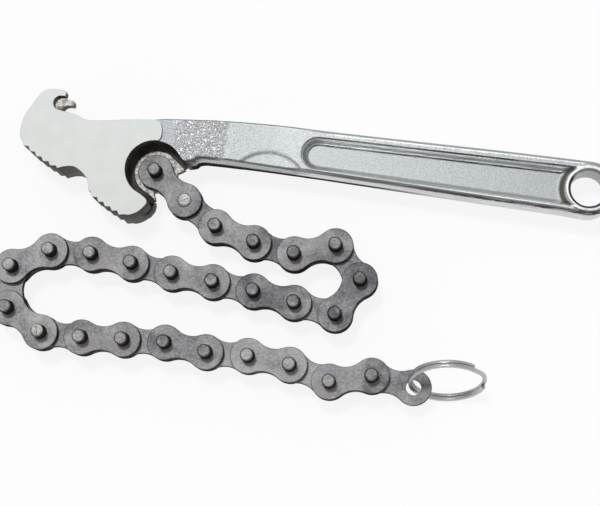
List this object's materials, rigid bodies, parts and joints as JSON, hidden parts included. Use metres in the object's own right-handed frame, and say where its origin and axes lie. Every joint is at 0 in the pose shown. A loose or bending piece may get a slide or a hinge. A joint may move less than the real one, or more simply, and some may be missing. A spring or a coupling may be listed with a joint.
{
  "type": "chain wrench",
  "caption": "Hand tool with a forged handle, a toothed hooked head and a pin-hinged leaf chain that wraps round a pipe or filter, with a split ring on the chain's end.",
  "frame": {"origin": "on the flat lower side of the head, between the teeth and the hook", "axes": "+X along the handle towards its eye, +Y across the handle towards the hook's side, +Z along the chain's pins, up from the face that the tool lies on"},
  "size_m": [0.2282, 0.1025, 0.0275],
  "materials": {
    "forged_steel": "satin plated forging, ground bright on the head's sides",
    "chain_steel": "dark oiled chain steel, worn grey on the plates and pin ends",
    "ring_steel": "bright spring wire"
  },
  "bodies": {
    "handle": {"handle_forging": "forged_steel"},
    "link_01": {"rear_link_plate_01": "chain_steel", "front_link_plate_01": "chain_steel"},
    "link_02": {"inner_link_plate_01": "chain_steel"},
    "link_03": {"rear_link_plate_02": "chain_steel", "front_link_plate_02": "chain_steel"},
    "link_04": {"inner_link_plate_02": "chain_steel"},
    "link_05": {"rear_link_plate_03": "chain_steel", "front_link_plate_03": "chain_steel"},
    "link_06": {"inner_link_plate_03": "chain_steel"},
    "link_07": {"rear_link_plate_04": "chain_steel", "front_link_plate_04": "chain_steel"},
    "link_08": {"inner_link_plate_04": "chain_steel"},
    "link_09": {"rear_link_plate_05": "chain_steel", "front_link_plate_05": "chain_steel"},
    "link_10": {"inner_link_plate_05": "chain_steel"},
    "link_11": {"rear_link_plate_06": "chain_steel", "front_link_plate_06": "chain_steel"},
    "link_12": {"inner_link_plate_06": "chain_steel"},
    "link_13": {"rear_link_plate_07": "chain_steel", "front_link_plate_07": "chain_steel"},
    "link_14": {"inner_link_plate_07": "chain_steel"},
    "link_15": {"rear_link_plate_08": "chain_steel", "front_link_plate_08": "chain_steel"},
    "link_16": {"inner_link_plate_08": "chain_steel"},
    "link_17": {"rear_link_plate_09": "chain_steel", "front_link_plate_09": "chain_steel"},
    "link_18": {"inner_link_plate_09": "chain_steel"},
    "link_19": {"rear_link_plate_10": "chain_steel", "front_link_plate_10": "chain_steel"},
    "link_20": {"inner_link_plate_10": "chain_steel"},
    "link_21": {"rear_link_plate_11": "chain_steel", "front_link_plate_11": "chain_steel"},
    "link_22": {"inner_link_plate_11": "chain_steel"},
    "link_23": {"rear_link_plate_12": "chain_steel", "front_link_plate_12": "chain_steel"},
    "link_24": {"inner_link_plate_12": "chain_steel"},
    "link_25": {"rear_link_plate_13": "chain_steel", "front_link_plate_13": "chain_steel"},
    "link_26": {"end_link_plate": "chain_steel"},
    "ring": {"split_ring": "ring_steel"}
  },
  "joints": [
    {"name": "chain_hinge_01", "type": "hinge", "parent": "handle", "child": "link_01", "pos_m": [0.022, -0.004, 0.00855], "axis": [0, 0, -1], "range_deg": [-11, 21]},
    {"name": "chain_hinge_02", "type": "hinge", "parent": "link_01", "child": "link_02", "pos_m": [0.03468, -0.01355, 0.00855], "axis": [0, 0, -1], "range_deg": [-11, 21]},
    {"name": "chain_hinge_03", "type": "hinge", "parent": "link_02", "child": "link_03", "pos_m": [0.04814, -0.02197, 0.00855], "axis": [0, 0, 1], "range_deg": [-11, 16]},
    {"name": "chain_hinge_04", "type": "hinge", "parent": "link_03", "child": "link_04", "pos_m": [0.06348, -0.02608, 0.00855], "axis": [0, 0, 1], "range_deg": [-9, 26]},
    {"name": "chain_hinge_05", "type": "hinge", "parent": "link_04", "child": "link_05", "pos_m": [0.0792, -0.02828, 0.00855], "axis": [0, 0, 1], "range_deg": [-7, 37]},
    {"name": "chain_hinge_06", "type": "hinge", "parent": "link_05", "child": "link_06", "pos_m": [0.09421, -0.02312, 0.00855], "axis": [0, 0, 1], "range_deg": [-5, 44]},
    {"name": "chain_hinge_07", "type": "hinge", "parent": "link_06", "child": "link_07", "pos_m": [0.10503, -0.03473, 0.00855], "axis": [0, 0, 1], "range_deg": [-4, 56]},
    {"name": "chain_hinge_08", "type": "hinge", "parent": "link_07", "child": "link_08", "pos_m": [0.09758, -0.04874, 0.00855], "axis": [0, 0, -1], "range_deg": [-58, 5]},
    {"name": "chain_hinge_09", "type": "hinge", "parent": "link_08", "child": "link_09", "pos_m": [0.08186, -0.04653, 0.00855], "axis": [0, 0, -1], "range_deg": [-34, 6]},
    {"name": "chain_hinge_10", "type": "hinge", "parent": "link_09", "child": "link_10", "pos_m": [0.06614, -0.04432, 0.00855], "axis": [0, 0, -1], "range_deg": [-16, 8]},
    {"name": "chain_hinge_11", "type": "hinge", "parent": "link_10", "child": "link_11", "pos_m": [0.05032, -0.04294, 0.00855], "axis": [0, 0, 1], "range_deg": [-10, 10]},
    {"name": "chain_hinge_12", "type": "hinge", "parent": "link_11", "child": "link_12", "pos_m": [0.03449, -0.04183, 0.00855], "axis": [0, 0, -1], "range_deg": [-8, 16]},
    {"name": "chain_hinge_13", "type": "hinge", "parent": "link_12", "child": "link_13", "pos_m": [0.0187, -0.04017, 0.00855], "axis": [0, 0, -1], "range_deg": [-6, 30]},
    {"name": "chain_hinge_14", "type": "hinge", "parent": "link_13", "child": "link_14", "pos_m": [0.00288, -0.03879, 0.00855], "axis": [0, 0, 1], "range_deg": [-55, 5]},
    {"name": "chain_hinge_15", "type": "hinge", "parent": "link_14", "child": "link_15", "pos_m": [-0.01297, -0.03962, 0.00855], "axis": [0, 0, -1], "range_deg": [-4, 60]},
    {"name": "chain_hinge_16", "type": "hinge", "parent": "link_15", "child": "link_16", "pos_m": [-0.02672, -0.04756, 0.00855], "axis": [0, 0, -1], "range_deg": [-3, 60]},
    {"name": "chain_hinge_17", "type": "hinge", "parent": "link_16", "child": "link_17", "pos_m": [-0.02533, -0.06337, 0.00855], "axis": [0, 0, -1], "range_deg": [-3, 60]},
    {"name": "chain_hinge_18", "type": "hinge", "parent": "link_17", "child": "link_18", "pos_m": [-0.01132, -0.07083, 0.00855], "axis": [0, 0, 1], "range_deg": [-60, 4]},
    {"name": "chain_hinge_19", "type": "hinge", "parent": "link_18", "child": "link_19", "pos_m": [0.00456, -0.07055, 0.00855], "axis": [0, 0, 1], "range_deg": [-60, 5]},
    {"name": "chain_hinge_20", "type": "hinge", "parent": "link_19", "child": "link_20", "pos_m": [0.02037, -0.06917, 0.00855], "axis": [0, 0, 1], "range_deg": [-60, 6]},
    {"name": "chain_hinge_21", "type": "hinge", "parent": "link_20", "child": "link_21", "pos_m": [0.03621, -0.06806, 0.00855], "axis": [0, 0, 1], "range_deg": [-60, 8]},
    {"name": "chain_hinge_22", "type": "hinge", "parent": "link_21", "child": "link_22", "pos_m": [0.05202, -0.06944, 0.00855], "axis": [0, 0, -1], "range_deg": [-11, 60]},
    {"name": "chain_hinge_23", "type": "hinge", "parent": "link_22", "child": "link_23", "pos_m": [0.06788, -0.06861, 0.00855], "axis": [0, 0, -1], "range_deg": [-15, 60]},
    {"name": "chain_hinge_24", "type": "hinge", "parent": "link_23", "child": "link_24", "pos_m": [0.08371, -0.06972, 0.00855], "axis": [0, 0, 1], "range_deg": [-60, 24]},
    {"name": "chain_hinge_25", "type": "hinge", "parent": "link_24", "child": "link_25", "pos_m": [0.09905, -0.07383, 0.00855], "axis": [0, 0, -1], "range_deg": [-39, 60]},
    {"name": "chain_hinge_26", "type": "hinge", "parent": "link_25", "child": "link_26", "pos_m": [0.11431, -0.06945, 0.00855], "axis": [0, 0, 1], "range_deg": [-60, 60]},
    {"name": "ring_swivel", "type": "hinge", "parent": "link_26", "child": "ring", "pos_m": [0.13006, -0.07139, 0.00855], "axis": [0, 0, 1], "range_deg": [-70, 70]}
  ]
}
